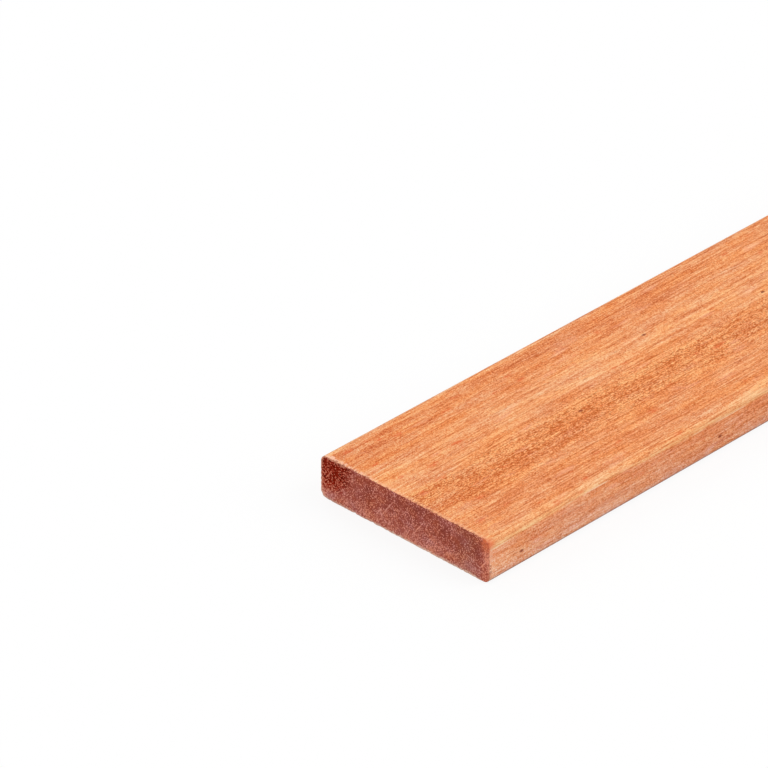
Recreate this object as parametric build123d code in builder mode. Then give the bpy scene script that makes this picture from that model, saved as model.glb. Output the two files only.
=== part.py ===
from build123d import *
import os

# Driving dimensions, in millimetres
length = 1800.0  # stock length, along the grain
width = 70.0  # across the face
thickness = 15.0
edge_radius = 2.5  # rounding that the moulder gives the four long edges

# Planed board: its section stands on the ground plane and runs along X, centred on the origin
with BuildPart() as plank:
    with BuildSketch(Plane.YZ.offset(-length / 2)):
        Rectangle(width, thickness, align=(Align.CENTER, Align.MIN))
    extrude(amount=length)

    # Only the long edges are eased: the saw leaves the arrises of both ends sharp
    fillet(plank.edges().filter_by(Axis.X), edge_radius)

plank.part.label = "plank"

os.makedirs("parts", exist_ok=True)
export_step(plank.part, "parts/plank.step")
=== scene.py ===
"""A planed hardwood board with eased long edges and sawn ends, dressed and lit for its portrait.

Sizes in the classes are millimetres, as a joiner gives them, and the meshes are in metres. X runs along the
grain, Y across the face and Z up. The near end is the sawn end at the lowest X, and the near side is the
narrow long side at the lowest Y.
"""

import logging
import math
from dataclasses import dataclass
from enum import Enum
from typing import Any, Mapping, Sequence, Union

import bpy
import numpy as np
from mathutils import Matrix, Vector


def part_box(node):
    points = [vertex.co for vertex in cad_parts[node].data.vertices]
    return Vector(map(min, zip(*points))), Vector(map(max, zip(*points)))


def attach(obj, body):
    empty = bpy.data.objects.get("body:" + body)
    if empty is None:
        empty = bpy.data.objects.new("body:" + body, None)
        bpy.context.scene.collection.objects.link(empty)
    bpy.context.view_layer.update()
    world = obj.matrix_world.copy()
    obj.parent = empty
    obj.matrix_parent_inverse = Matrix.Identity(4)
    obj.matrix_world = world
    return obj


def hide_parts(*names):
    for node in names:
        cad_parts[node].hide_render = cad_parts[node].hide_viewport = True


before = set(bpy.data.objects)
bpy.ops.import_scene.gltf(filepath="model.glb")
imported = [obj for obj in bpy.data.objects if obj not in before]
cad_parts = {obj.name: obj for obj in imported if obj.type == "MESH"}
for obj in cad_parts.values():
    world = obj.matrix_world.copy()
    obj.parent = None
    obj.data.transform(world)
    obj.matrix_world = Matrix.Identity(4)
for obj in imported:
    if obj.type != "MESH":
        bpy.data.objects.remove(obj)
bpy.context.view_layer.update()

NODE = "plank"
BODY = "root"
METRES_PER_MM = 0.001

Span = tuple[float, float]
Triple = tuple[float, float, float]
Colour = Triple
Number = Union["Value", float]
LOG = logging.getLogger("board")


def srgb(red: float, green: float, blue: float) -> Colour:
    """Turn a display colour of 0 to 255 into the linear colour that a shader takes.

    Args:
        red: Red as displayed.
        green: Green as displayed.
        blue: Blue as displayed.

    Returns:
        The linear red, green and blue, from 0 to 1.
    """
    shown = np.array([red, green, blue]) / 255
    linear = np.where(shown <= 0.04045, shown / 12.92, ((shown + 0.055) / 1.055) ** 2.4)
    return tuple(float(part) for part in linear)


class Blend(Enum):
    """How a Mix node lays its second colour over its first."""

    OVER = "MIX"
    TINT = "MULTIPLY"


class Cut(Enum):
    """Which way a face of the board was cut, and so which of its finishes it wears."""

    PLANED = 0
    SAWN = 1


class Weave(Enum):
    """What a layer of streaks is made of: soft clouds, or flat fibres with crisp ends."""

    CLOUDS = "clouds"
    FIBRES = "fibres"


class Value:
    """A number that varies over a surface: one socket, with arithmetic that adds Math nodes."""

    def __init__(self, recipe: "Recipe", socket: bpy.types.NodeSocket) -> None:
        """Keep the socket and the recipe whose tree it is in."""
        self.recipe = recipe
        self.socket = socket

    def apply(self, operation: str, *operands: Number) -> "Value":
        """Add one Math node.

        Args:
            operation: The Math node's operation.
            operands: Its inputs, in order.

        Returns:
            The node's result.
        """
        return self.recipe.node("ShaderNodeMath", {"operation": operation}, dict(enumerate(operands)))

    def __add__(self, other: Number) -> "Value":
        """Sum."""
        return self.apply("ADD", self, other)

    __radd__ = __add__

    def __sub__(self, other: Number) -> "Value":
        """Difference."""
        return self.apply("SUBTRACT", self, other)

    def __rsub__(self, other: Number) -> "Value":
        """Difference, from a plain number."""
        return self.apply("SUBTRACT", other, self)

    def __mul__(self, other: Number) -> "Value":
        """Product."""
        return self.apply("MULTIPLY", self, other)

    __rmul__ = __mul__

    def __truediv__(self, other: Number) -> "Value":
        """Quotient."""
        return self.apply("DIVIDE", self, other)

    def __pow__(self, power: float) -> "Value":
        """Power."""
        return self.apply("POWER", self, power)

    def __abs__(self) -> "Value":
        """Size without sign."""
        return self.apply("ABSOLUTE", self)

    def least(self, other: Number) -> "Value":
        """The smaller of the two."""
        return self.apply("MINIMUM", self, other)

    def most(self, other: Number) -> "Value":
        """The larger of the two."""
        return self.apply("MAXIMUM", self, other)

    def rise(self, low: float, high: float) -> "Value":
        """Climb smoothly from 0 at low to 1 at high.

        Args:
            low: Where the climb starts.
            high: Where it ends, which may be below low for a fall.

        Returns:
            The smooth step.
        """
        if low > high:
            return 1 - self.rise(high, low)
        sockets = {"Value": self, "From Min": low, "From Max": high}
        return self.recipe.node("ShaderNodeMapRange", {"interpolation_type": "SMOOTHSTEP"}, sockets)

    def wave(self) -> "Value":
        """A sine wave that comes round at each whole number."""
        return self.apply("SINE", 2 * math.pi * self)

    def hump(self, middle: float, reach: float) -> "Value":
        """1 at the middle, falling smoothly to 0 at that reach on both sides."""
        return abs(self - middle).rise(reach, 0.0)


class Recipe:
    """A node tree, with the few ways in which the finishes, the floor and the sky add to it."""

    def __init__(self, tree: bpy.types.NodeTree) -> None:
        """Empty the tree, to build it up from nothing."""
        self.tree = tree
        self.tree.nodes.clear()

    def add(
        self, kind: str, settings: Mapping[str, Any], sockets: Mapping[Union[str, int], Any]
    ) -> bpy.types.Node:
        """Add a node, set it up, then fill its sockets.

        Args:
            kind: The node's type.
            settings: Its own properties, and stops for a ramp's (position, colour) pairs.
            sockets: A value or a link for each named or numbered input.

        Returns:
            The node.
        """
        made = self.tree.nodes.new(kind)
        for name, setting in settings.items():
            if name == "stops":
                self._set_stops(made.color_ramp, setting)
            else:
                setattr(made, name, setting)
        for name, wanted in sockets.items():
            if isinstance(wanted, Value):
                self.tree.links.new(wanted.socket, made.inputs[name])
            else:
                made.inputs[name].default_value = wanted
        return made

    def node(
        self,
        kind: str,
        settings: Mapping[str, Any],
        sockets: Mapping[Union[str, int], Any],
        output: Union[str, int] = 0,
    ) -> Value:
        """Add a node as add does, and give the output that is wanted."""
        return Value(self, self.add(kind, settings, sockets).outputs[output])

    @staticmethod
    def _set_stops(ramp: bpy.types.ColorRamp, stops: Sequence[tuple[float, Colour]]) -> None:
        """Give a ramp its stops.

        Args:
            ramp: The ramp.
            stops: Its positions and colours, in order.
        """
        while len(ramp.elements) < len(stops):
            ramp.elements.new(1.0)
        for element, (position, colour) in zip(ramp.elements, stops):
            element.position = position
            element.color = (*colour, 1.0)

    def place(self) -> Value:
        """Object coordinates in millimetres."""
        metres = self.node("ShaderNodeTexCoord", {}, {}, "Object")
        return self.stretch(metres, (1 / METRES_PER_MM,) * 3)

    def stretch(self, vector: Value, factors: Sequence[float]) -> Value:
        """Multiply a vector by a factor for each axis."""
        return self.node("ShaderNodeVectorMath", {"operation": "MULTIPLY"}, {0: vector, 1: factors})

    def shift(self, vector: Value, offset: Union[Value, Sequence[float]]) -> Value:
        """Add an offset to a vector."""
        return self.node("ShaderNodeVectorMath", {"operation": "ADD"}, {0: vector, 1: offset})

    def turn(self, vector: Value, degrees: float) -> Value:
        """Turn a vector about X."""
        sockets = {"Vector": vector, "Rotation": (math.radians(degrees), 0.0, 0.0)}
        return self.node("ShaderNodeMapping", {}, sockets)

    def axis(self, vector: Value, name: str) -> Value:
        """One of a vector's parts: X, Y or Z."""
        return self.node("ShaderNodeSeparateXYZ", {}, {0: vector}, name)

    def cells(self, vector: Value, factors: Sequence[float], seed: float) -> Value:
        """The place counted in cells of one over the factors in size, shifted by the seed."""
        return self.shift(self.stretch(vector, factors), (seed, 2 * seed, 3 * seed))

    def noise(
        self,
        vector: Value,
        factors: Sequence[float],
        seed: float,
        detail: float = 2.0,
        roughness: float = 0.55,
    ) -> Value:
        """Cloudy noise whose cells have one over the factors as their size, about 0 and mostly within 0.3.

        Args:
            vector: The place, in millimetres.
            factors: Cells for each millimetre, along X, Y and Z.
            seed: A shift in cells, so that two like noises differ.
            detail: How many finer layers are added.
            roughness: How strong each finer layer is.

        Returns:
            The noise.
        """
        sockets = {"Vector": self.cells(vector, factors, seed), "Scale": 1.0}
        sockets.update({"Detail": detail, "Roughness": roughness})
        return self.node("ShaderNodeTexNoise", {}, sockets) - 0.5

    def fibres(self, vector: Value, factors: Sequence[float], seed: float) -> Value:
        """Flat random cells of one over the factors in size, each with its own chance from -0.5 to 0.5.

        Args:
            vector: The place, in millimetres.
            factors: Cells for each millimetre, along X, Y and Z.
            seed: A shift in cells, so that two like layers differ.

        Returns:
            The chance of the cell that the place is in.
        """
        sockets = {"Vector": self.cells(vector, factors, seed), "Scale": 1.0}
        colour = self.node("ShaderNodeTexVoronoi", {}, sockets, "Color")
        return self.axis(colour, "X") - 0.5

    def dots(self, vector: Value, factors: Sequence[float], seed: float) -> Value:
        """Soft round dots, one in each random cell, most of them faint and a few of them up to 1.

        Args:
            vector: The place, in millimetres.
            factors: Cells for each millimetre, along X, Y and Z.
            seed: A shift in cells, so that two like layers differ.

        Returns:
            How bright the dot is at the place.
        """
        sockets = {"Vector": self.cells(vector, factors, seed), "Scale": 1.0}
        made = self.add("ShaderNodeTexVoronoi", {}, sockets)
        away, colour = (Value(self, made.outputs[name]) for name in ("Distance", "Color"))
        return self.axis(colour, "X") ** 3 * away.rise(0.75, 0.15)

    def blot(self, vector: Value, centre: Sequence[float], reach: Sequence[float]) -> Value:
        """One soft spot: 1 about its centre, falling to 0 at its reach.

        Args:
            vector: The place, in millimetres.
            centre: The spot's centre.
            reach: How far it goes along each axis.

        Returns:
            How strong the spot is at the place.
        """
        away = self.stretch(self.shift(vector, [-c for c in centre]), [1 / r for r in reach])
        length = self.node("ShaderNodeVectorMath", {"operation": "LENGTH"}, {0: away}, "Value")
        return length.rise(1.0, 0.3)

    def ramp(self, factor: Value, stops: Sequence[tuple[float, Colour]]) -> Value:
        """Read a colour off a row of stops."""
        return self.node("ShaderNodeValToRGB", {"stops": stops}, {0: factor})

    def mix(self, blend: Blend, factor: Number, under: Any, over: Any) -> Value:
        """Lay one colour over another.

        Args:
            blend: How they are laid.
            factor: How much of the second shows.
            under: The first colour, linear or a link.
            over: The second colour, linear or a link.

        Returns:
            The mixed colour.
        """
        colours = [c if isinstance(c, Value) else (*c, 1.0) for c in (under, over)]
        settings = {"data_type": "RGBA", "blend_type": blend.value}
        return self.node("ShaderNodeMix", settings, {0: factor, 6: colours[0], 7: colours[1]}, 2)

    def surface(self, colour: Value, roughness: Value, height: Value, relief: float, gloss: float) -> None:
        """End the tree in a Principled surface.

        Args:
            colour: The base colour.
            roughness: The roughness.
            height: The fine relief, from about 0 to 1.
            relief: How deep that relief is, in millimetres.
            gloss: The specular level.
        """
        sockets = {"Height": height, "Distance": relief * METRES_PER_MM, "Strength": 1.0}
        normal = self.node("ShaderNodeBump", {}, sockets)
        sockets = {"Base Color": colour, "Roughness": roughness, "Normal": normal}
        sockets["Specular IOR Level"] = gloss
        self.end("ShaderNodeOutputMaterial", self.node("ShaderNodeBsdfPrincipled", {}, sockets))

    def end(self, kind: str, shader: Value) -> None:
        """Join a shader to the tree's output, which is a material's or a world's."""
        self.add(kind, {}, {"Surface": shader})


def new_material(name: str) -> tuple[bpy.types.Material, Recipe]:
    """Start a material.

    Args:
        name: Its name.

    Returns:
        The material, and the recipe that fills its tree.
    """
    material = bpy.data.materials.new(name)
    material.use_nodes = True
    return material, Recipe(material.node_tree)


@dataclass(frozen=True)
class BoardSizes:
    """The board's sizes, half of each way, with the rounding of its long edges."""

    half_length: float
    half_width: float
    half_thickness: float
    edge_radius: float = 2.5


class Spot:
    """Where a point of the board is, in the terms that its finishes use."""

    worn_inset: Span = (0.4, 0.85)

    def __init__(self, recipe: Recipe, sizes: BoardSizes) -> None:
        """Read the place, and measure it from the board's ends, sides and faces.

        Args:
            recipe: The finish's recipe.
            sizes: The board's sizes.
        """
        self.recipe = recipe
        self.sizes = sizes
        self.place = recipe.place()
        self.x, self.y, self.z = (recipe.axis(self.place, name) for name in "XYZ")
        self.along = self.x + sizes.half_length
        self.across = sizes.half_width - self.y
        self.from_end = sizes.half_length - abs(self.x)

    def of(self, along: float, across: float, up: float) -> Triple:
        """Turn distances from the near end, the far side and the underside into a place on the board."""
        return along - self.sizes.half_length, self.sizes.half_width - across, up

    def worn_corner(self, reach: float) -> Value:
        """Find the near end's near upper corner, which is rubbed down to fresh wood.

        Args:
            reach: How far from the corner the rubbing goes.

        Returns:
            1 at the corner, and 0 past the reach.
        """
        sideways, down = self.worn_inset
        corner = self.of(0.0, 2 * self.sizes.half_width - sideways, 2 * self.sizes.half_thickness - down)
        return self.recipe.blot(self.place, corner, (reach,) * 3)

    def beside(self, insets: Span) -> Value:
        """1 along both long sides, up from 0 between the two insets from them."""
        return abs(self.y).rise(*(self.sizes.half_width - inset for inset in insets))

    def inset(self) -> Value:
        """Distance inwards from the section's rounded outline.

        With how far a point is past the straight flats, sideways and upwards, the outline's distance is
        that of a rectangle inside them, and of a circle where both are positive.

        Returns:
            The distance, in millimetres.
        """
        radius = self.sizes.edge_radius
        sideways = abs(self.y) - (self.sizes.half_width - radius)
        upwards = abs(self.z - self.sizes.half_thickness) - (self.sizes.half_thickness - radius)
        corner = (sideways.most(0.0) ** 2 + upwards.most(0.0) ** 2) ** 0.5
        return radius - corner - sideways.most(upwards).least(0.0)


@dataclass(frozen=True)
class Streaks:
    """One layer of streaks along the grain: its cells for each millimetre, its strength and its weave."""

    along: float
    across: float
    strength: float
    seed: float
    weave: Weave = Weave.CLOUDS

    def tone(self, recipe: Recipe, flow: Value) -> Value:
        """Lay the layer's lighter and darker streaks.

        Args:
            recipe: The finish's recipe.
            flow: The place, bent with the grain.

        Returns:
            The streaks' tone, about 0.
        """
        factors = (self.along, self.across, self.across)
        if self.weave is Weave.FIBRES:
            return self.strength * recipe.fibres(flow, factors, self.seed)
        return self.strength * recipe.noise(flow, factors, self.seed, detail=1.0)


@dataclass(frozen=True)
class PlanedGrain:
    """The long faces: warm orange-brown, with fine streaks and short dark pores along the grain.

    A span is where a change starts and where it is complete. Spots and pinholes are given by their distances
    from the near end and the far side, and then by their reach or their height.
    """

    sizes: BoardSizes
    dark: Colour = srgb(190, 80, 24)
    middle: Colour = srgb(239, 145, 84)
    light: Colour = srgb(255, 206, 152)
    pore: Colour = srgb(190, 80, 14)
    ember: Colour = srgb(226, 88, 34)
    blush: Colour = srgb(255, 190, 156)
    # painted reflection of the pale floor on the sides, low and high
    sheen_low: Colour = (1.0, 1.21, 1.84)
    sheen_high: Colour = (1.05, 1.06, 1.28)
    scuffed: Colour = (1.05, 1.08, 1.13)
    # painted highlight colour for the rounded upper edges
    edge_highlight: Colour = srgb(255, 212, 154)
    burnished: Colour = srgb(255, 222, 184)
    torn: Colour = srgb(255, 200, 168)
    chipped: Colour = srgb(156, 70, 46)
    hole: Colour = srgb(130, 34, 0)
    # painted shade for the sides' lower rounding, next to the floor
    painted_floor_shade: Colour = (0.36, 0.31, 0.34)
    warm: Colour = (1.03, 0.985, 0.84)
    cool: Colour = (0.96, 1.0, 1.14)
    gloss: float = 0.15
    pore_depth: float = 0.02
    line_pitch: float = 1.05
    settled: Span = (130.0, 500.0)
    mottle_starts: Span = (0.44, 0.55)
    mottle_ends: Span = (0.82, 0.64)
    quiet_from: Span = (0.68, 0.78)
    end_pales: Span = (14.0, 4.0)
    side_pales: Span = (110.0, 5.0)
    side_scuffs: Span = (15.0, 2.0)
    side_insets: Span = (1.0, 0.3)
    side_blur: Span = (0.25, -0.25)
    edge_insets: Span = (3.8, 1.8)
    edge_blur: Span = (-0.1, 0.5)
    edge_whole: Span = (80.0, 50.0)
    shade_insets: Span = (1.6, 0.3)
    shade_height: Span = (2.0, 0.9)
    seam_drop: float = 0.6
    seam_sag: float = 1.1
    sag_middle: float = 45.0
    sag_reach: float = 45.0
    line_reach: float = 0.32
    line_whole: Span = (14.0, 6.0)
    corner_reach: float = 3.4
    corner_clean: Span = (66.0, 68.0)
    top_clean: Span = (10.0, 34.0)
    top_skin: Span = (1.0, 0.2)
    torn_blur: Span = (1.9, 0.5)
    torn_longer: Span = (22.0, 8.0)
    chips_below: Span = (9.5, 11.5)
    coarse: tuple[Streaks, ...] = (
        Streaks(0.003, 0.14, 0.35, 0.0), Streaks(0.05, 0.3, 0.3, 4.9), Streaks(0.03, 0.6, 0.4, 3.1),
    )
    fine: tuple[Streaks, ...] = (
        Streaks(0.06, 1.5, 0.18, 7.7, Weave.FIBRES), Streaks(0.14, 2.9, 0.36, 2.9, Weave.FIBRES),
    )
    grit: Streaks = Streaks(3.2, 4.2, 0.68, 9.4, Weave.FIBRES)
    spot_shape: Span = (1.3, 0.55)
    spot_depth: float = 2.0
    red_spots: tuple[Triple, ...] = (
        (6.0, 37.0, 2.6), (6.5, 60.0, 2.2), (15.5, 51.0, 2.2), (19.5, 28.5, 2.4), (7.5, 26.5, 1.9),
        (88.0, 55.0, 2.6), (7.0, 16.0, 1.6), (24.0, 9.0, 2.0),
        (30.0, 69.2, 2.6), (40.0, 69.8, 1.8), (50.5, 70.0, 1.8), (84.0, 69.0, 2.0),
        (15.0, 35.5, 2.4), (6.5, 5.0, 2.0),
    )
    pin_reach: Triple = (1.2, 0.72, 0.72)
    pins_beyond: Span = (150.0, 160.0)
    pin_holes: tuple[Triple, ...] = (
        (72.5, 39.4, 15.0), (119.0, 23.0, 15.0), (13.8, 70.0, 5.6), (102.0, 70.0, 6.0),
    )
    ribbons: tuple[Span, ...] = (
        (0.0, 0.5), (0.04, 0.55), (0.12, 0.36), (0.2, 0.48), (0.36, 1.0), (0.48, 1.0),
        (0.56, 0.7), (0.64, 0.58), (0.75, 0.72), (0.86, 0.42), (1.0, 0.6),
    )

    def material(self) -> bpy.types.Material:
        """Make the finish.

        Returns:
            The material.
        """
        material, recipe = new_material("planed_grain")
        spot = Spot(recipe, self.sizes)
        flow, share = self.flow(recipe, spot), self.share(recipe, spot)
        mottle = share.rise(*self.mottle_starts) * share.rise(*self.mottle_ends)
        quiet = share.rise(*self.quiet_from)
        side, eased = self.sides(spot), self.eased_edges(recipe, spot)
        coarse = sum(layer.tone(recipe, flow) for layer in self.coarse) * (1 - 0.65 * quiet)
        fine = sum(layer.tone(recipe, flow) for layer in self.fine) + 0.08 * self.ruled(recipe, flow)
        fine = fine * (1 + 0.7 * eased - 0.2 * side)
        grit = self.grit.tone(recipe, flow) * (0.95 + 0.3 * mottle)
        shade = recipe.ramp(share, [(at, (level,) * 3) for at, level in self.ribbons])
        tone = 0.48 + coarse + fine + grit + 0.22 * (shade - 0.47)
        tone = tone + 0.1 * side * (spot.along.rise(*self.side_pales) - 0.5)
        # painted highlight: the rounded upper edges are made paler
        tone = tone + 0.12 * eased + 0.04 * spot.along.rise(*self.end_pales)
        wood = recipe.ramp(tone, [(0.0, self.dark), (0.5, self.middle), (1.0, self.light)])
        warmth = recipe.noise(flow, (0.05, 0.25, 0.25), 6.4) + 0.18 * mottle
        tint = recipe.ramp(0.5 - warmth, [(0.3, self.warm), (0.7, self.cool)])
        wood = recipe.mix(Blend.TINT, 1.0, wood, tint)
        wood = recipe.mix(Blend.OVER, (0.6 - 0.3 * side) * self.embers(recipe, flow, spot), wood, self.ember)
        wood = recipe.mix(Blend.OVER, 0.35 * self.blushes(recipe, flow), wood, self.blush)
        pores = self.pores(recipe, flow, mottle)
        wood = recipe.mix(Blend.OVER, (0.65 + 0.25 * mottle) * pores, wood, self.pore)
        height = spot.z / (2 * self.sizes.half_thickness)
        # painted reflection: the sides are tinted paler and cooler, more so low down, for the pale floor's
        # sheen on them
        floor_sheen = recipe.ramp(height, [(0.2, self.sheen_low), (0.7, self.sheen_high)])
        wood = recipe.mix(Blend.TINT, side, wood, floor_sheen)
        wood = recipe.mix(Blend.TINT, side * spot.along.rise(*self.side_scuffs), wood, self.scuffed)
        # painted highlight: a pale colour laid over the rounded upper edges, stronger where they face
        # sideways
        wood = recipe.mix(Blend.OVER, 0.1 * eased * (1 + self.outwards(spot)), wood, self.edge_highlight)
        wood = recipe.mix(Blend.OVER, 0.75 * self.cutter_line(recipe, spot), wood, self.burnished)
        # painted shade: darkens the lower rounding of both sides, where they turn under towards the floor
        wood = recipe.mix(Blend.TINT, self.floor_shade_mask(spot), wood, self.painted_floor_shade)
        wood = recipe.mix(Blend.OVER, 0.85 * self.pins(recipe, spot), wood, self.hole)
        wood = self.torn_ends(recipe, spot, wood)
        wood = recipe.mix(Blend.OVER, 0.55 * spot.worn_corner(self.corner_reach), wood, self.ember)
        rough = 0.58 - 0.2 * fine + 0.1 * pores
        recipe.surface(wood, rough, coarse - pores, self.pore_depth, self.gloss)
        return material

    def flow(self, recipe: Recipe, spot: Spot) -> Value:
        """Bend the place a little, so that the streaks along the grain aren't ruled lines.

        Args:
            recipe: The finish's recipe.
            spot: The place on the board.

        Returns:
            The bent place, in millimetres.
        """
        cells = recipe.stretch(spot.place, (0.006, 0.02, 0.02))
        sockets = {"Vector": cells, "Scale": 1.0, "Detail": 1.0}
        drift = recipe.node("ShaderNodeTexNoise", {}, sockets, "Color")
        return recipe.shift(spot.place, recipe.stretch(drift, (0.0, 5.0, 5.0)))

    def ruled(self, recipe: Recipe, flow: Value) -> Value:
        """Draw thin lines along the grain, one for each pitch across it, that sway and come and go.

        Args:
            recipe: The finish's recipe.
            flow: The place, bent with the grain.

        Returns:
            The lines, from -1 to 1.
        """
        sway = recipe.noise(flow, (0.02, 0.3, 0.3), 3.4)
        fade = recipe.noise(flow, (0.04, 0.4, 0.4), 1.2).rise(-0.12, 0.15)
        across = recipe.axis(flow, "Y") + recipe.axis(flow, "Z")
        return (across / self.line_pitch + 4 * sway).wave() * fade

    def share(self, recipe: Recipe, spot: Spot) -> Value:
        """Work out how far across the board's grain a point lies, which wanders away from the near end.

        Args:
            recipe: The finish's recipe.
            spot: The place on the board.

        Returns:
            The share, from 0 at the far side to 1 at the near side.
        """
        wander = recipe.noise(spot.place, (0.004, 0.0, 0.0), 5.3) * spot.along.rise(*self.settled)
        ragged = recipe.noise(spot.place, (0.02, 0.25, 0.25), 1.7)
        slant = 0.5 * (2 * self.sizes.half_thickness - spot.z)
        return (spot.across + slant + 5 * ragged + 40 * wander) / (2 * self.sizes.half_width)

    def embers(self, recipe: Recipe, flow: Value, spot: Spot) -> Value:
        """Lay the soft red-orange spots that show near the near end, and fainter ones all over.

        Args:
            recipe: The finish's recipe.
            flow: The place, bent with the grain.
            spot: The place on the board.

        Returns:
            How red the wood is.
        """
        ragged = recipe.fibres(flow, (1.1, 3.2, 3.2), 4.2)
        top = 2 * self.sizes.half_thickness
        long, wide = self.spot_shape
        blots = []
        for along, across, reach in self.red_spots:
            shape = (long * reach, wide * reach, self.spot_depth)
            blots.append(recipe.blot(spot.place, spot.of(along, across, top), shape))
        scattered = recipe.noise(flow, (0.14, 0.5, 0.5), 4.2, detail=1.0).rise(0.16, 0.32)
        return (sum(blots) * (0.7 + 1.5 * ragged)).most(scattered).least(1.2)

    def pins(self, recipe: Recipe, spot: Spot) -> Value:
        """Prick the few pinholes that show near the near end, and a scatter of others beyond.

        Args:
            recipe: The finish's recipe.
            spot: The place on the board.

        Returns:
            1 in a pinhole.
        """
        holes = [recipe.blot(spot.place, spot.of(*place), self.pin_reach) for place in self.pin_holes]
        scatter = recipe.fibres(spot.place, (0.7, 1.1, 1.1), 3.9).rise(0.4985, 0.4995)
        return (scatter * spot.along.rise(*self.pins_beyond)).most(sum(holes))

    def blushes(self, recipe: Recipe, flow: Value) -> Value:
        """Soft pale pink patches, where the grain turns up to the light."""
        return recipe.noise(flow, (0.08, 0.3, 0.3), 5.9, detail=1.0).rise(0.1, 0.32)

    def pores(self, recipe: Recipe, flow: Value, mottle: Value) -> Value:
        """Lay short dark dashes along the grain, crowded in the mottled band, and a few long thin lines.

        Args:
            recipe: The finish's recipe.
            flow: The place, bent with the grain.
            mottle: 1 in the mottled band.

        Returns:
            1 in a pore.
        """
        dashes = recipe.noise(flow, (0.36, 2.5, 2.5), 6.6, detail=1.0) * (1 - mottle)
        dashes = dashes + recipe.noise(flow, (0.85, 2.7, 2.7), 1.4, detail=1.0) * mottle
        clusters = recipe.noise(flow, (0.1, 0.4, 0.4), 8.8, detail=1.0)
        lines = recipe.noise(flow, (0.05, 1.9, 1.9), 2.3, detail=1.0)
        crowded = (dashes + 0.3 * clusters + 0.11 * mottle).rise(0.12, 0.26)
        return crowded.most(0.5 * lines.rise(0.1, 0.26))

    def sides(self, spot: Spot) -> Value:
        """1 on the two narrow sides, below their seams."""
        return self.outwards(spot) * self.over_seam(spot).rise(*self.side_blur)

    def eased_edges(self, recipe: Recipe, spot: Spot) -> Value:
        """Find the two rounded upper edges, where a painted highlight makes them paler, in patches past the
        near end.

        Args:
            recipe: The finish's recipe.
            spot: The place on the board.

        Returns:
            1 on the edges' painted highlight.
        """
        sideways = spot.beside(self.edge_insets)
        patchy = recipe.noise(spot.place, (0.03, 0.3, 0.3), 2.2).rise(-0.1, 0.2)
        whole = (0.55 + 0.27 * patchy).most(spot.along.rise(*self.edge_whole))
        return sideways * self.over_seam(spot).rise(*self.edge_blur) * whole

    def outwards(self, spot: Spot) -> Value:
        """1 on what faces sideways."""
        return spot.beside(self.side_insets)

    def floor_shade_mask(self, spot: Spot) -> Value:
        """1 low on the two narrow sides, where they round off towards the floor and painted shade darkens
        them.
        """
        return spot.beside(self.shade_insets) * spot.z.rise(*self.shade_height)

    def over_seam(self, spot: Spot) -> Value:
        """Measure from the seam of a rounded upper edge and its side, which sags a little.

        Args:
            spot: The place on the board.

        Returns:
            How far the point is above the seam, in millimetres.
        """
        junction = 2 * self.sizes.half_thickness - self.sizes.edge_radius
        sag = self.seam_sag * spot.along.hump(self.sag_middle, self.sag_reach)
        return spot.z - junction + self.seam_drop - sag

    def cutter_line(self, recipe: Recipe, spot: Spot) -> Value:
        """Draw the thin pale line that the cutter leaves along the seam, whole at the near end, then broken.

        Args:
            recipe: The finish's recipe.
            spot: The place on the board.

        Returns:
            1 on the line.
        """
        broken = recipe.noise(spot.place, (0.07, 0.1, 0.1), 7.9).rise(0.06, 0.16)
        whole = spot.along.rise(*self.line_whole)
        return self.outwards(spot) * self.over_seam(spot).hump(0.0, self.line_reach) * broken.most(whole)

    def torn_ends(self, recipe: Recipe, spot: Spot, wood: Value) -> Value:
        """Fray the last millimetre before the saw cuts, into pale fibres and small brown chips.

        Args:
            recipe: The finish's recipe.
            spot: The place on the board.
            wood: The colour so far.

        Returns:
            The colour with its frayed ends.
        """
        thickness = 2 * self.sizes.half_thickness
        skin = spot.z.rise(*(thickness - depth for depth in self.top_skin))
        clean = skin * spot.across.rise(*self.top_clean)
        clean = clean.most(spot.across.rise(*self.corner_clean))
        ragged = recipe.fibres(spot.place, (0.3, 1.9, 1.9), 3.7)
        wood = recipe.mix(Blend.OVER, 0.25 * spot.from_end.rise(*self.torn_blur), wood, self.torn)
        frayed = spot.from_end + 1.6 * ragged - 0.5 * spot.across.rise(*self.torn_longer)
        wood = recipe.mix(Blend.OVER, 0.85 * frayed.rise(0.5, 0.1) * (1 - 0.85 * clean), wood, self.torn)
        side = self.outwards(spot)
        splinters = spot.from_end + (1.2 + side) * recipe.fibres(spot.place, (0.3, 1.3, 1.3), 7.1)
        whole = side * (0.25 + 0.75 * spot.z.rise(*self.chips_below))
        chips = 0.7 * splinters.rise(0.1, 0.0) * (1 - whole)
        return recipe.mix(Blend.OVER, chips, wood, self.chipped)


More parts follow.
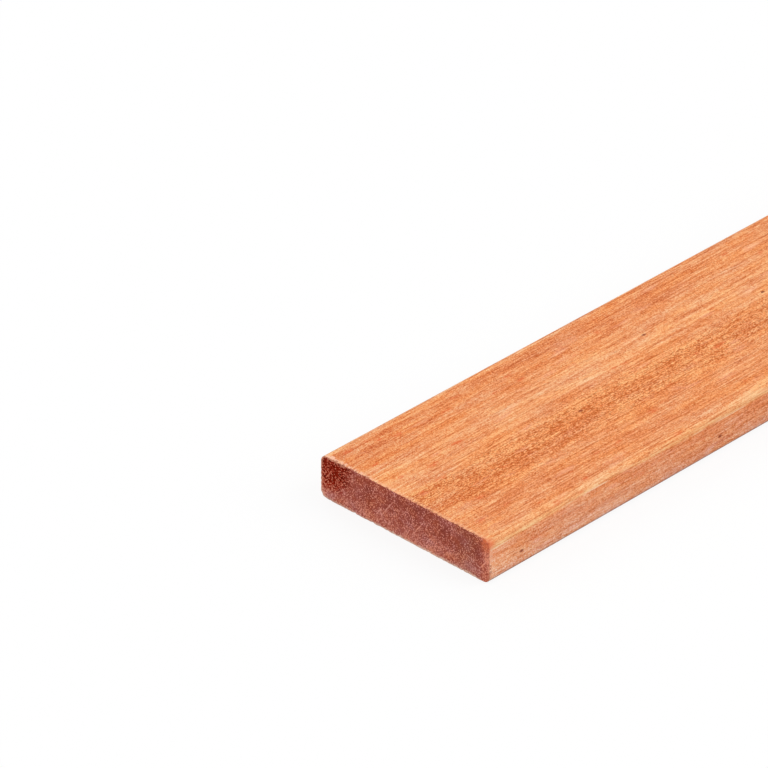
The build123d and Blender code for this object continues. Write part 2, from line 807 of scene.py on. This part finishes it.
@dataclass(frozen=True)
class SawnGrain:
    """The sawn ends: red-brown end grain with pale pores, a dark red corner and slanting saw lines.

    A span is where a change starts and where it is complete. Saw marks are given by their distances from the
    far side and the underside, and then by their reach.
    """

    sizes: BoardSizes
    browns: tuple[Colour, Colour, Colour] = (srgb(140, 60, 44), srgb(190, 98, 80), srgb(255, 176, 152))
    reds: tuple[Colour, Colour, Colour] = (srgb(84, 8, 0), srgb(172, 42, 18), srgb(240, 146, 118))
    warm: Colour = (1.07, 0.975, 0.82)
    cool: Colour = (0.94, 0.985, 1.18)
    dull: Colour = (0.9, 0.98, 0.98)
    scorched: Colour = (1.05, 0.94, 0.8)
    torn: Colour = srgb(255, 216, 192)
    rubbed: Colour = srgb(240, 164, 132)
    worn: Colour = srgb(232, 120, 78)
    gloss: float = 0.02
    relief: float = 0.06
    bright_below: Span = (13.0, 6.0)
    low_pales: Span = (9.0, 0.0)
    low_pales_most: Span = (56.0, 48.0)
    dull_middle: float = 61.0
    dull_reach: float = 8.0
    scorch_insets: Span = (4.2, 1.6)
    stain_reach: Span = (16.0, 10.5)
    stain_foot: Span = (2.0, 5.5)
    corner_reach: float = 4.2
    near_lip_insets: Span = (1.0, 0.3)
    far_lip_insets: Span = (0.8, 0.3)
    far_lip_side: Span = (3.0, 1.5)
    far_lip_top: Span = (12.0, 13.5)
    far_lip_over: Span = (13.0, 8.0)
    low_lip_insets: Span = (0.9, 0.4)
    low_lip_height: Span = (4.0, 2.0)
    low_lip_grows: Span = (18.0, 30.0)
    low_lip_stops: Span = (67.0, 64.0)
    saw_slant: float = 36.0
    mark_width: float = 0.35
    mark_depth: float = 10.0
    saw_marks: tuple[Triple, ...] = (
        (28.0, 8.0, 6.0), (3.5, 9.5, 4.0), (41.0, 7.0, 4.0),
        (67.5, 6.0, 5.0), (24.5, 5.5, 3.5), (45.0, 4.0, 2.5),
    )

    def material(self) -> bpy.types.Material:
        """Make the finish.

        Returns:
            The material.
        """
        material, recipe = new_material("sawn_grain")
        spot = Spot(recipe, self.sizes)
        slanted = recipe.turn(spot.place, -self.saw_slant)
        ragged = recipe.noise(spot.place, (0.01, 0.35, 0.35), 4.4)
        pores, lines = self.pores(recipe, slanted), self.saw_lines(recipe, slanted)
        tone = self.tone(recipe, spot, ragged) + 1.4 * pores + 0.3 * lines
        brown = recipe.ramp(tone, list(zip((0.0, 0.5, 1.0), self.browns)))
        deep = tone + pores * (0.1 + 0.6 * spot.z.rise(*self.bright_below)) - 0.05
        red = recipe.ramp(deep, list(zip((0.0, 0.5, 1.0), self.reds)))
        warmth = recipe.noise(spot.place, (0.01, 0.18, 0.22), 1.9)
        tint = recipe.ramp(0.5 - warmth, [(0.3, self.warm), (0.7, self.cool)])
        wood = recipe.mix(Blend.TINT, 1.0, brown, tint)
        dulled = spot.across.hump(self.dull_middle, self.dull_reach)
        wood = recipe.mix(Blend.TINT, dulled, wood, self.dull)
        wood = recipe.mix(Blend.TINT, self.near_edge(ragged, spot), wood, self.scorched)
        wood = recipe.mix(Blend.OVER, self.stain(ragged, spot), wood, red)
        crumbs = recipe.fibres(spot.place, (0.01, 1.7, 1.7), 8.3)
        wood = recipe.mix(Blend.OVER, 0.35 * self.near_lip(crumbs, spot), wood, self.rubbed)
        rubbed = spot.worn_corner(self.corner_reach) * (0.7 + 1.4 * crumbs)
        wood = recipe.mix(Blend.OVER, rubbed, wood, self.worn)
        inset = spot.inset()
        wood = recipe.mix(Blend.OVER, self.far_lip(inset, crumbs, spot), wood, self.rubbed)
        wood = recipe.mix(Blend.OVER, self.low_lip(inset, crumbs, spot), wood, self.torn)
        recipe.surface(wood, 0.8 + 0.1 * ragged, ragged + 0.3 * lines, self.relief, self.gloss)
        return material

    def tone(self, recipe: Recipe, spot: Spot, ragged: Value) -> Value:
        """Cloud the end darker and lighter, and rub it paler along its lower edge and its near side.

        Args:
            recipe: The finish's recipe.
            spot: The place on the board.
            ragged: Noise that makes the rubbed edges uneven.

        Returns:
            The tone between the pores, from 0 to 1.
        """
        clouds = recipe.noise(spot.place, (0.01, 0.1, 0.18), 1.1)
        clouds = clouds + 0.5 * recipe.noise(spot.place, (0.01, 0.5, 0.4), 2.6)
        low = (spot.z + 5 * ragged).rise(*self.low_pales)
        low = low * (0.75 + 0.25 * spot.across.rise(*self.low_pales_most))
        near = self.near_edge(ragged, spot)
        return 0.24 + 0.5 * clouds + 0.32 * low.most(0.7 * near)

    def near_edge(self, ragged: Value, spot: Spot) -> Value:
        """1 along the end's near side, where the saw came out."""
        width = 2 * self.sizes.half_width
        return (spot.across + 4 * ragged).rise(*(width - inset for inset in self.scorch_insets))

    def stain(self, ragged: Value, spot: Spot) -> Value:
        """Find the dark red heartwood at the far upper corner, which slants down to the far side.

        Args:
            ragged: Noise that makes its border uneven.
            spot: The place on the board.

        Returns:
            1 in the heartwood.
        """
        below = 2 * self.sizes.half_thickness - spot.z
        slanting = (spot.across + 0.5 * below + 8 * ragged).rise(*self.stain_reach)
        return slanting * spot.z.rise(*self.stain_foot)

    def pores(self, recipe: Recipe, slanted: Value) -> Value:
        """Sprinkle pale specks, many faint and few bright, in a finer sand of lighter and darker fibres.

        Args:
            recipe: The finish's recipe.
            slanted: The place, turned to the saw's slant.

        Returns:
            The specks, up to about 1.
        """
        specks = recipe.dots(slanted, (0.01, 2.8, 2.3), 0.7)
        specks = specks.most(recipe.dots(slanted, (0.01, 1.6, 1.4), 5.3) ** 2)
        patchy = 1 + 1.7 * recipe.noise(slanted, (0.01, 0.3, 0.22), 6.2)
        return (specks + 0.22 * recipe.fibres(slanted, (0.01, 3.3, 2.5), 4.1)) * patchy

    def saw_lines(self, recipe: Recipe, slanted: Value) -> Value:
        """Draw the pale lines that the saw's teeth left: faint ones all over, and a few that stand out.

        Args:
            recipe: The finish's recipe.
            slanted: The place, turned to the saw's slant.

        Returns:
            How pale the lines are.
        """
        angle = math.radians(self.saw_slant)
        marks = []
        for across, up, reach in self.saw_marks:
            y = self.sizes.half_width - across
            turned = (math.cos(angle) * y + math.sin(angle) * up, math.cos(angle) * up - math.sin(angle) * y)
            centre = (-self.sizes.half_length, *turned)
            marks.append(recipe.blot(slanted, centre, (self.mark_depth, self.mark_width, reach)))
        faint = recipe.noise(slanted, (0.01, 1.4, 0.05), 3.3, detail=1.0).rise(0.1, 0.28)
        return (1.5 * sum(marks)).most(0.6 * faint)

    def near_lip(self, crumbs: Value, spot: Spot) -> Value:
        """1 on the narrow pale strip along the near side, where the cut's border is rubbed."""
        width = 2 * self.sizes.half_width
        return (spot.across + 1.4 * crumbs).rise(*(width - inset for inset in self.near_lip_insets))

    def far_lip(self, inset: Value, crumbs: Value, spot: Spot) -> Value:
        """Find the rubbed lip along the far side of the cut and over its far upper corner.

        Args:
            inset: Distance inwards from the section's outline.
            crumbs: Chances that make the lip ragged.
            spot: The place on the board.

        Returns:
            How much of the lip shows.
        """
        far = 0.6 * spot.across.rise(*self.far_lip_side)
        high = 0.75 * spot.across.rise(*self.far_lip_over) * spot.z.rise(*self.far_lip_top)
        return (inset + 0.9 * crumbs).rise(*self.far_lip_insets) * far.most(high)

    def low_lip(self, inset: Value, crumbs: Value, spot: Spot) -> Value:
        """Find the pale torn lip along the lower edge of the cut, up to its near side.

        Args:
            inset: Distance inwards from the section's outline.
            crumbs: Chances that make the lip ragged.
            spot: The place on the board.

        Returns:
            How much of the lip shows.
        """
        strength = 0.45 + 0.4 * spot.across.rise(*self.low_lip_grows)
        strength = strength * spot.across.rise(*self.low_lip_stops)
        low = spot.z.rise(*self.low_lip_height)
        return (inset + 0.7 * crumbs).rise(*self.low_lip_insets) * low * strength


@dataclass
class Board:
    """The board itself: one closed skin of four planed faces, four eased edges and two sawn ends."""

    sizes: BoardSizes
    middle: np.ndarray
    wide_points: int = 172
    narrow_points: int = 35
    rim_steps: int = 5
    rim_width: float = 3.5
    arris_steps: int = 4
    half_stations: int = 30
    first_station: float = 0.3
    usual_wear: float = 0.16
    least_wear: float = 0.05
    wave_count: int = 14
    waves_round: tuple[int, int] = (12, 130)
    chip_count: int = 16
    chip_shares: Span = (0.002, 0.006)
    chip_depths: Span = (0.1, 0.4)
    corner_wear: Span = (0.9, 0.35)
    corner_share: float = 0.014
    saw_depth: float = 0.06
    saw_pitch: float = 2.3
    saw_heading: Span = (0.8, 0.6)
    second_wave: float = 0.37
    seeds: tuple[int, int] = (11, 23)
    sharp_degrees: float = 50.0
    page_margin: float = 0.01
    least_step: float = 0.8
    strip_height: float = 0.42
    second_strip: float = 0.445
    ends_from: float = 0.885
    ends_height: float = 0.105
    ends_width: float = 0.48

    def outline(self) -> tuple[np.ndarray, np.ndarray, np.ndarray]:
        """Work out the section's outline, its normals and the border of the core inside it.

        The outline has four runs, each from the middle of one rounded corner to the middle of the next:
        bottom, near side, top and far side. At a distance along a run, the part of it that lies on the flat
        slides a point along that flat, and the rest turns the normal from -45 to 45 degrees of the run's
        own. The outline is that point, plus the edge radius along the normal. The core is a rectangle, the
        rim's width inside the outline's box, and each of its sides has as many points as the run beside it.

        Returns:
            The points (Y, Z) about the section's middle, their outward normals and the core's points.
        """
        radius = self.sizes.edge_radius
        arc = radius * math.pi / 4
        halves = (self.sizes.half_thickness, self.sizes.half_width)
        points, normals, core = [], [], []
        for run, count in enumerate((self.wide_points, self.narrow_points) * 2):
            depth, half_run = halves[run % 2], halves[1 - run % 2]
            half_flat = half_run - radius
            travel = np.linspace(0, 2 * (arc + half_flat), count, endpoint=False)
            slide = np.clip(travel - arc, 0, 2 * half_flat) - half_flat
            turn = np.clip(travel, 0, arc) - arc + np.clip(travel - arc - 2 * half_flat, 0, arc)
            base = run * math.pi / 2
            angle = base + turn / radius
            normal = np.stack([-np.sin(angle), -np.cos(angle)], 1)
            facing = np.array([-math.sin(base), -math.cos(base)])
            heading = np.array([-math.cos(base), math.sin(base)])
            points.append((depth - radius) * facing + slide[:, None] * heading + radius * normal)
            normals.append(normal)
            along = np.linspace(-1, 1, count, endpoint=False)[:, None] * (half_run - self.rim_width)
            core.append((depth - self.rim_width) * facing + along * heading)
        return np.concatenate(points), np.concatenate(normals), np.concatenate(core)

    def wear(self, count: int, seed: int, corner_depth: float) -> np.ndarray:
        """Work out how far the arris round a sawn end is rubbed back.

        It is the usual wear times one plus a sum of waves round the outline, each a whole number of times so
        that they close, and a few chips, each a narrow bell, with one wide bell at the near upper corner.

        Args:
            count: How many points the outline has.
            seed: The seed of the waves and the chips.
            corner_depth: How deep the wide bell is.

        Returns:
            The wear at each point, in millimetres.
        """
        random = np.random.default_rng(seed)
        share = np.arange(count) / count
        waves = random.integers(*self.waves_round, self.wave_count)
        phases = random.uniform(0, 2 * math.pi, self.wave_count)
        ripple = np.sin(2 * math.pi * waves * share[:, None] + phases).sum(1) / 4
        chips = random.uniform(0, 1, self.chip_count)
        corner = (self.wide_points + self.narrow_points) / count
        centres = np.concatenate([chips, [corner]])
        widths = np.concatenate([random.uniform(*self.chip_shares, self.chip_count), [self.corner_share]])
        depths = np.concatenate([random.uniform(*self.chip_depths, self.chip_count), [corner_depth]])
        apart = np.abs((share[:, None] - centres + 0.5) % 1 - 0.5)
        bells = (depths * np.exp(-((apart / widths) ** 2))).sum(1)
        return np.maximum(self.usual_wear * (1 + ripple), self.least_wear) + bells

    def half_tube(self, seed: int, corner_depth: float) -> np.ndarray:
        """Work out half of the board's long skin, from the core of one saw cut to the board's middle.

        The rim of the cut is a blend from the core's border to the cut's. Round the worn arris the depth
        from the cut is the wear times one minus a sine, and the inset of the outline is the wear times one
        minus a cosine. Further in the outline is whole, and the stations' depths grow by a constant ratio up
        to half the length.

        Args:
            seed: The seed of that end's wear and furrows.
            corner_depth: How far its near upper corner is rubbed.

        Returns:
            For each station and point, its depth from the cut, Y and Z.
        """
        ring, normal, core = self.outline()
        wear = self.wear(len(ring), seed, corner_depth)
        angle = np.linspace(math.pi / 2, 0, self.arris_steps + 1)[:, None]
        half = self.sizes.half_length
        further = np.geomspace(self.first_station, half, self.half_stations)[:, None]
        further = further + wear * np.exp(-further / 2) * (1 - further / half)
        inset = np.concatenate([wear * (1 - np.cos(angle)), np.zeros_like(further)])
        section = ring - inset[..., None] * normal
        share = np.linspace(0, 1, self.rim_steps, endpoint=False)[:, None]
        rim = core + share[..., None] * (section[0] - core)
        depth = np.concatenate([(1 - share) * self.furrows(rim, seed), wear * (1 - np.sin(angle)), further])
        return np.concatenate([depth[..., None], np.concatenate([rim, section])], 2)

    def furrows(self, points: np.ndarray, seed: int) -> np.ndarray:
        """Work out how deep the saw's furrows are: half the saw's depth, and two waves across their slant.

        Args:
            points: Places (Y, Z) on the cut.
            seed: The seed of the waves.

        Returns:
            The depth at each place, in millimetres.
        """
        phase = np.random.default_rng(seed).uniform(0, 2 * math.pi, 2)
        slant = points @ np.array(self.saw_heading) * 2 * math.pi / self.saw_pitch
        waves = np.sin(slant + phase[0]) + np.sin(self.second_wave * slant + phase[1])
        return self.saw_depth * (0.5 + 0.25 * waves)

    def cap(self, seed: int) -> np.ndarray:
        """Fill the core of a saw cut with an even grid, as deep as the saw's furrows.

        Args:
            seed: The seed of the furrows.

        Returns:
            The grid's depths, Y and Z, upwards and from the far side to the near side.
        """
        width = self.sizes.half_width - self.rim_width
        height = self.sizes.half_thickness - self.rim_width
        across = np.linspace(width, -width, self.wide_points + 1)
        up = np.linspace(-height, height, self.narrow_points + 1)
        points = np.stack(np.meshgrid(across, up), 2)
        return np.concatenate([self.furrows(points, seed)[..., None], points], 2)

    def cap_border(self, count: int) -> np.ndarray:
        """Number the border of a cap's grid as the outline is numbered.

        Args:
            count: How many points the outline has.

        Returns:
            The outline point at each point of the grid, and -1 inside its border.
        """
        rows, columns = self.narrow_points, self.wide_points
        border = np.full((rows + 1, columns + 1), -1)
        border[0] = np.arange(columns + 1)
        border[:, -1] = columns + np.arange(rows + 1)
        border[-1] = columns + rows + np.arange(columns + 1)[::-1]
        border[:, 0] = (count - np.arange(rows + 1)) % count
        return border

    def build(self, planed: bpy.types.Material, sawn: bpy.types.Material) -> bpy.types.Object:
        """Make the skin and dress it.

        Args:
            planed: The finish of the long faces.
            sawn: The finish of the two ends.

        Returns:
            The board's object.
        """
        near, far = (self.half_tube(*end) for end in zip(self.seeds, self.corner_wear))
        tube = np.concatenate([near, far[-2::-1]])
        rows, count = tube.shape[:2]
        tube[:, :, 0] -= self.sizes.half_length
        tube[len(near):, :, 0] *= -1
        border = self.cap_border(count)
        inside = border < 0
        caps = [self.cap(seed) for seed in self.seeds]
        for cap, side in zip(caps, (-1, 1)):
            cap[..., 0] = side * (self.sizes.half_length - cap[..., 0])
        vertices = np.concatenate([tube.reshape(-1, 3)] + [cap[inside] for cap in caps]) + self.middle
        numbers = np.arange(rows * count).reshape(rows, count)
        grids = []
        for row, start in ((0, rows * count), (rows - 1, rows * count + inside.sum())):
            grid = numbers[row][border]
            grid[inside] = start + np.arange(inside.sum())
            grids.append(grid)
        wrapped = np.concatenate([numbers, numbers[:, :1]], 1)
        sheets = (wrapped, grids[0][:, ::-1], grids[1])
        quads = np.concatenate([self.corners(sheet) for sheet in sheets])
        mesh = bpy.data.meshes.new("board")
        mesh.from_pydata((vertices * METRES_PER_MM).tolist(), [], quads.tolist())
        mesh.materials.append(planed)
        mesh.materials.append(sawn)
        mesh.polygons.foreach_set("material_index", self.cuts(rows, count, len(quads)))
        mesh.uv_layers.new(name="OFBake").uv.foreach_set("vector", self.layout(tube, caps).ravel())
        mesh.shade_smooth()
        mesh.set_sharp_from_angle(angle=math.radians(self.sharp_degrees))
        board = bpy.data.objects.new("board", mesh)
        bpy.context.scene.collection.objects.link(board)
        return board

    def cuts(self, rows: int, count: int, faces: int) -> np.ndarray:
        """Tell which cut each face is: sawn on both ends and on their half of the worn arris, else planed.

        Args:
            rows: How many rings of points the long skin has.
            count: How many points each ring has.
            faces: How many faces the whole skin has.

        Returns:
            The number of each face's finish.
        """
        kinds = np.full(faces, Cut.SAWN.value, np.int32)
        sawn_rows = self.rim_steps + self.arris_steps // 2
        kinds[sawn_rows * count : (rows - 1 - sawn_rows) * count] = Cut.PLANED.value
        return kinds

    def layout(self, tube: np.ndarray, caps: Sequence[np.ndarray]) -> np.ndarray:
        """Lay the faces out flat, in one square picture.

        Each half of the long skin is a strip, its U the distance from the cut, with a little added for each
        station so that none is too thin, and its V the place round the outline. The two sawn ends lie side
        by side above them.

        Args:
            tube: The long skin's points, with the rims of the sawn ends.
            caps: The points of the sawn ends' cores.

        Returns:
            U and V at each corner of each face, in the faces' order.
        """
        rows, count = tube.shape[:2]
        last, rim = (rows - 1) // 2, self.rim_steps
        steps = np.linalg.norm(np.diff(tube[rim : last + 1].mean(1), axis=0), axis=1)
        reach = np.concatenate([[0.0], np.cumsum(steps + self.least_step)])
        u = self.page_margin + (1 - 2 * self.page_margin) * reach / reach[-1]
        v = np.linspace(0, self.strip_height, count + 1)
        wrapped = np.concatenate([tube, tube[:, :1]], 1)
        strips = [np.stack(np.meshgrid(u, v + self.page_margin, indexing="ij"), 2)]
        strips.append(np.stack(np.meshgrid(u[::-1], v + self.second_strip, indexing="ij"), 2))
        rims = [self.flat_end(wrapped[: rim + 1], 0), self.flat_end(wrapped[-rim - 1 :], 1)]
        cores = [self.flat_end(caps[0][:, ::-1], 0), self.flat_end(caps[1], 1)]
        sheets = [rims[0], *strips, rims[1], *cores]
        return np.concatenate([self.corners(sheet) for sheet in sheets]).astype(np.float32)

    def flat_end(self, points: np.ndarray, end: int) -> np.ndarray:
        """Lay points of a sawn end out as they lie on the cut.

        Args:
            points: The points, whose last axis holds X, Y and Z.
            end: 0 for the near end, and 1 for the far end, which lies to the right of it.

        Returns:
            U and V at each point.
        """
        across = 0.5 - points[..., 1] / (2 * self.sizes.half_width)
        up = 0.5 + points[..., 2] / (2 * self.sizes.half_thickness)
        u = self.page_margin + 0.5 * end + self.ends_width * across
        return np.stack([u, self.ends_from + self.ends_height * up], -1)

    @staticmethod
    def corners(grid: np.ndarray) -> np.ndarray:
        """What a grid holds at the four corners of each of its faces, in the faces' order."""
        stacked = np.stack([grid[:-1, :-1], grid[1:, :-1], grid[1:, 1:], grid[:-1, 1:]], 2)
        return stacked.reshape((-1, 4) + grid.shape[2:])


@dataclass(frozen=True)
class Lamp:
    """One soft lamp, far away: the direction it hangs in, its strength and how many degrees it spans."""

    name: str
    toward: Triple
    strength: float
    span: float = 50.0

    def hang(self) -> bpy.types.Object:
        """Hang the lamp.

        Returns:
            The lamp's object.
        """
        data = bpy.data.lights.new(self.name, "SUN")
        data.energy = self.strength
        data.angle = math.radians(self.span)
        lamp = bpy.data.objects.new(self.name, data)
        lamp.rotation_euler = Vector(self.toward).to_track_quat("Z", "Y").to_euler()
        bpy.context.scene.collection.objects.link(lamp)
        return lamp


@dataclass
class Studio:
    """The pale floor, the soft light and the camera, which is placed by one corner of the near end."""

    corner: Vector
    focal_pixels: float = 6000.0
    frame_pixels: float = 768.0
    sensor: float = 36.0
    pitch: float = 31.540
    heading: float = 45.608
    roll: float = 0.081
    corner_right: float = -19.04
    corner_up: float = -33.67
    corner_depth: float = 1810.7
    floor_reach: float = 40000.0
    floor_grey: float = 0.55
    floor_glow: float = 0.88
    sky: float = 0.5
    lamps: tuple[Lamp, ...] = (
        Lamp("back_lamp", (0.3, 0.9, 0.85), 0.63),
        Lamp("right_lamp", (0.45, -0.62, 0.64), 1.26),
        Lamp("left_lamp", (-0.8, -0.3, 0.5), 0.69),
    )

    def build(self) -> None:
        """Set up the floor, the light and the camera."""
        self.lay_floor()
        self.light()
        self.place_camera()

    def lay_floor(self) -> bpy.types.Object:
        """Lay the floor under the board, grey for its light and white to the camera, with a faint shadow.

        Returns:
            The floor's object.
        """
        side = np.array([-1, 1]) * self.floor_reach
        across, along = np.meshgrid(side, side)
        corners = np.stack([across, along, np.full_like(across, self.corner.z)], 2).reshape(-1, 3)
        mesh = bpy.data.meshes.new("floor")
        mesh.from_pydata((corners * METRES_PER_MM).tolist(), [], [(0, 1, 3, 2)])
        material, recipe = new_material("pale_floor")
        plain = recipe.node("ShaderNodeBsdfDiffuse", {}, {"Color": (*(self.floor_grey,) * 3, 1.0)})
        white = recipe.node("ShaderNodeBsdfDiffuse", {}, {"Color": (1.0, 1.0, 1.0, 1.0)})
        glow = recipe.node("ShaderNodeEmission", {}, {"Color": (1.0, 1.0, 1.0, 1.0), "Strength": 1.0})
        shown = recipe.node("ShaderNodeMixShader", {}, {0: self.floor_glow, 1: white, 2: glow})
        floor_shader = recipe.node("ShaderNodeMixShader", {}, {0: self.seen(recipe), 1: plain, 2: shown})
        recipe.end("ShaderNodeOutputMaterial", floor_shader)
        mesh.materials.append(material)
        floor = bpy.data.objects.new("floor", mesh)
        bpy.context.scene.collection.objects.link(floor)
        return floor

    @staticmethod
    def seen(recipe: Recipe) -> Value:
        """1 where the camera sees the background, straight or in a gloss, and 0 for its light."""
        rays = ("Is Camera Ray", "Is Glossy Ray", "Is Transmission Ray")
        return sum(recipe.node("ShaderNodeLightPath", {}, {}, ray) for ray in rays).rise(0.0, 1.0)

    def light(self) -> None:
        """Hang the lamps, and light the sky evenly."""
        world = bpy.data.worlds.new("studio")
        world.use_nodes = True
        recipe = Recipe(world.node_tree)
        strength = self.sky + (1 - self.sky) * self.seen(recipe)
        sockets = {"Color": (1.0, 1.0, 1.0, 1.0), "Strength": strength}
        recipe.end("ShaderNodeOutputWorld", recipe.node("ShaderNodeBackground", {}, sockets))
        bpy.context.scene.world = world
        for lamp in self.lamps:
            lamp.hang()

    def place_camera(self) -> bpy.types.Object:
        """Place the camera by where the near end's far lower corner lies before it.

        Returns:
            The camera's object.
        """
        pitch, heading, roll = (math.radians(a) for a in (self.pitch, self.heading, self.roll))
        right = Vector((math.cos(heading), -math.sin(heading), 0.0))
        level = Vector((math.sin(heading), math.cos(heading), 0.0))
        ahead = math.cos(pitch) * level - math.sin(pitch) * Vector((0.0, 0.0, 1.0))
        up = right.cross(ahead)
        at = self.corner - self.corner_right * right - self.corner_up * up - self.corner_depth * ahead
        turned_right = math.cos(roll) * right - math.sin(roll) * up
        turned_up = math.sin(roll) * right + math.cos(roll) * up
        data = bpy.data.cameras.new("camera")
        data.sensor_width = self.sensor
        data.lens = self.sensor * self.focal_pixels / self.frame_pixels
        data.clip_end = 2 * self.floor_reach * METRES_PER_MM
        camera = bpy.data.objects.new("camera", data)
        axes = Matrix((turned_right, turned_up, -ahead)).transposed().to_4x4()
        camera.matrix_world = Matrix.Translation(at * METRES_PER_MM) @ axes
        bpy.context.scene.collection.objects.link(camera)
        bpy.context.scene.camera = camera
        return camera


def main() -> None:
    """Build the board, dress it and set up the studio."""
    logging.basicConfig(level=logging.INFO, format="%(name)s: %(message)s")
    low, high = (np.array(corner) / METRES_PER_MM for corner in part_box(NODE))
    sizes = BoardSizes(*((high - low) / 2).tolist())
    board = Board(sizes, (low + high) / 2)
    skin = board.build(PlanedGrain(sizes).material(), SawnGrain(sizes).material())
    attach(skin, BODY)
    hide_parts(NODE)
    LOG.info("board: %d faces", len(skin.data.polygons))
    Studio(Vector((low[0], high[1], low[2]))).build()
    bpy.context.scene.view_settings.view_transform = "Standard"


if __name__ == "__main__":
    main()
